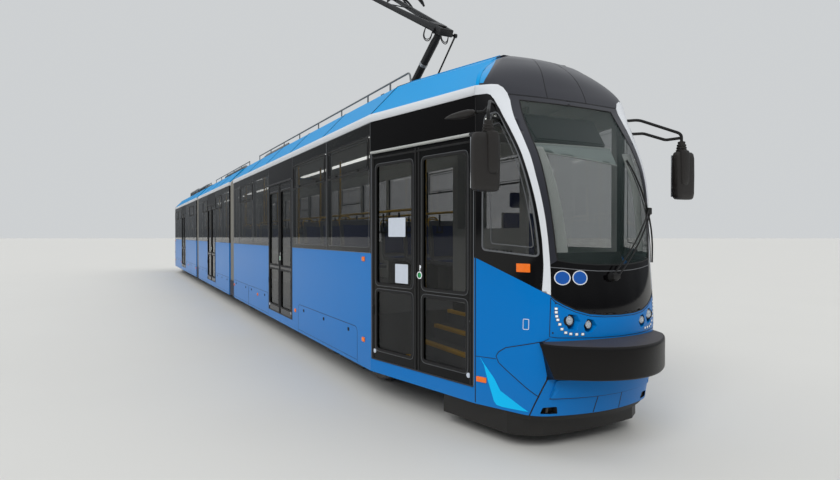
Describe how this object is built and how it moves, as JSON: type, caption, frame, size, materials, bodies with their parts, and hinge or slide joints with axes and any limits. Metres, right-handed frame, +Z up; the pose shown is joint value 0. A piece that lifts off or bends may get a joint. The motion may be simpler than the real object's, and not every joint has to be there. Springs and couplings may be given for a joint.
{
  "type": "articulated tram",
  "caption": "Articulated low-entry tram with a moulded cab nose, glazed sides, flush double doors, folded bellows, bogies under skirts and a raised single-arm pantograph.",
  "frame": {"origin": "the vehicle's centre on the floor under its wheel flanges", "axes": "+X towards the driver's cab, +Y to the vehicle's left, +Z up"},
  "size_m": [28.5998, 2.423, 5.6498],
  "materials": {
    "body_blue": "gloss",
    "roof_blue": "gloss",
    "roof_cap": "satin",
    "black_bumper": "matte",
    "black_plastic": "satin",
    "door_frames": "gloss",
    "dark_glass": "gloss",
    "glass": "gloss",
    "lamps": "gloss",
    "bellows": "matte",
    "equipment": "satin",
    "floor": "matte",
    "poles": "brushed",
    "seats": "satin",
    "cab_trim": "satin",
    "bogie_frame": "satin",
    "wheel_steel": "brushed",
    "pantograph_steel": "satin"
  },
  "bodies": {
    "middle_section": {"front_bellows": "bellows", "middle_doors": "door_frames", "middle_equipment": "equipment", "middle_floor": "floor", "middle_poles": "poles", "middle_roof": "roof_blue", "middle_seats": "seats", "middle_side_walls": "body_blue", "middle_windows": "dark_glass", "rear_bellows": "bellows"},
    "front_section": {"cab_fittings": "cab_trim", "front_bumper": "black_bumper", "front_cap": "roof_cap", "front_doors": "door_frames", "front_equipment": "equipment", "front_floor": "floor", "front_lamps": "lamps", "front_mask": "body_blue", "front_poles": "poles", "front_roof": "roof_blue", "front_screen": "glass", "front_seats": "seats", "front_side_walls": "body_blue", "front_under_skirt": "black_bumper", "front_valance": "body_blue", "front_windows": "dark_glass", "mirrors": "black_plastic", "pantograph_base": "pantograph_steel", "wiper": "black_plastic"},
    "rear_section": {"rear_bumper": "black_bumper", "rear_cap": "roof_cap", "rear_doors": "door_frames", "rear_equipment": "equipment", "rear_floor": "floor", "rear_lamps": "lamps", "rear_mask": "body_blue", "rear_poles": "poles", "rear_roof": "roof_blue", "rear_screen": "glass", "rear_seats": "seats", "rear_side_walls": "body_blue", "rear_under_skirt": "black_bumper", "rear_valance": "body_blue", "rear_windows": "dark_glass"},
    "bogie_1": {"bogie_1": "bogie_frame"},
    "bogie_2": {"bogie_2": "bogie_frame"},
    "bogie_3": {"bogie_3": "bogie_frame"},
    "bogie_4": {"bogie_4": "bogie_frame"},
    "pantograph_head": {"pantograph_head": "pantograph_steel"},
    "pantograph_lower_arm": {"pantograph_lower_arm": "pantograph_steel"},
    "pantograph_rod": {"pantograph_rod": "pantograph_steel"},
    "pantograph_upper_arm": {"pantograph_upper_arm": "pantograph_steel"},
    "wheelset_1": {"wheelset_1": "wheel_steel"},
    "wheelset_2": {"wheelset_2": "wheel_steel"},
    "wheelset_3": {"wheelset_3": "wheel_steel"},
    "wheelset_4": {"wheelset_4": "wheel_steel"},
    "wheelset_5": {"wheelset_5": "wheel_steel"},
    "wheelset_6": {"wheelset_6": "wheel_steel"},
    "wheelset_7": {"wheelset_7": "wheel_steel"},
    "wheelset_8": {"wheelset_8": "wheel_steel"}
  },
  "joints": [
    {"name": "front_articulation", "type": "hinge", "parent": "middle_section", "child": "front_section", "pos_m": [3.3, 0, 0.8], "axis": [0, 0, 1], "range_deg": [-22, 22], "deforming": ["front_bellows"]},
    {"name": "rear_articulation", "type": "hinge", "parent": "middle_section", "child": "rear_section", "pos_m": [-3.3, 0, 0.8], "axis": [0, 0, 1], "range_deg": [-22, 22], "deforming": ["rear_bellows"]},
    {"name": "bogie_1_yaw", "type": "hinge", "parent": "front_section", "child": "bogie_1", "pos_m": [10.2, 0, 0.76], "axis": [0, 0, 1], "range_deg": [-12, 12]},
    {"name": "bogie_2_yaw", "type": "hinge", "parent": "middle_section", "child": "bogie_2", "pos_m": [3.3, 0, 0.76], "axis": [0, 0, 1], "range_deg": [-11, 11]},
    {"name": "bogie_3_yaw", "type": "hinge", "parent": "middle_section", "child": "bogie_3", "pos_m": [-3.3, 0, 0.76], "axis": [0, 0, 1], "range_deg": [-11, 11]},
    {"name": "bogie_4_yaw", "type": "hinge", "parent": "rear_section", "child": "bogie_4", "pos_m": [-10.2, 0, 0.76], "axis": [0, 0, 1], "range_deg": [-12, 12]},
    {"name": "wheelset_1_roll", "type": "hinge", "parent": "bogie_1", "child": "wheelset_1", "pos_m": [11.1, 0, 0.352], "axis": [0, 1, 0], "continuous": true},
    {"name": "wheelset_2_roll", "type": "hinge", "parent": "bogie_1", "child": "wheelset_2", "pos_m": [9.3, 0, 0.352], "axis": [0, 1, 0], "continuous": true},
    {"name": "wheelset_3_roll", "type": "hinge", "parent": "bogie_2", "child": "wheelset_3", "pos_m": [4.2, 0, 0.352], "axis": [0, 1, 0], "continuous": true},
    {"name": "wheelset_4_roll", "type": "hinge", "parent": "bogie_2", "child": "wheelset_4", "pos_m": [2.4, 0, 0.352], "axis": [0, 1, 0], "continuous": true},
    {"name": "wheelset_5_roll", "type": "hinge", "parent": "bogie_3", "child": "wheelset_5", "pos_m": [-2.4, 0, 0.352], "axis": [0, 1, 0], "continuous": true},
    {"name": "wheelset_6_roll", "type": "hinge", "parent": "bogie_3", "child": "wheelset_6", "pos_m": [-4.2, 0, 0.352], "axis": [0, 1, 0], "continuous": true},
    {"name": "wheelset_7_roll", "type": "hinge", "parent": "bogie_4", "child": "wheelset_7", "pos_m": [-9.3, 0, 0.352], "axis": [0, 1, 0], "continuous": true},
    {"name": "wheelset_8_roll", "type": "hinge", "parent": "bogie_4", "child": "wheelset_8", "pos_m": [-11.1, 0, 0.352], "axis": [0, 1, 0], "continuous": true},
    {"name": "pantograph_raise", "type": "hinge", "parent": "front_section", "child": "pantograph_lower_arm", "pos_m": [10.2, 0, 3.6], "axis": [0, 1, 0], "range_deg": [-18, 31]},
    {"name": "pantograph_knee", "type": "hinge", "parent": "pantograph_lower_arm", "child": "pantograph_upper_arm", "pos_m": [11.18, 0, 4.25], "axis": [0, 1, 0], "range_deg": [-59.49, 34.75]},
    {"name": "pantograph_head_tilt", "type": "hinge", "parent": "pantograph_upper_arm", "child": "pantograph_head", "pos_m": [9.03, 0, 5.52], "axis": [0, 1, 0], "range_deg": [-16.75, 28.49]},
    {"name": "pantograph_rod_turn", "type": "hinge", "parent": "front_section", "child": "pantograph_rod", "pos_m": [10.625, 0, 3.6], "axis": [0, 1, 0], "range_deg": [-18.5, 31.5]}
  ],
  "couplings": [
    {"joint": "bogie_2_yaw", "follows": "front_articulation", "ratio": 0.5},
    {"joint": "bogie_3_yaw", "follows": "rear_articulation", "ratio": 0.5},
    {"joint": "pantograph_knee", "follows": "pantograph_raise", "ratio": -1.903},
    {"joint": "pantograph_head_tilt", "follows": "pantograph_raise", "ratio": 0.903},
    {"joint": "pantograph_rod_turn", "follows": "pantograph_raise", "ratio": 1}
  ]
}
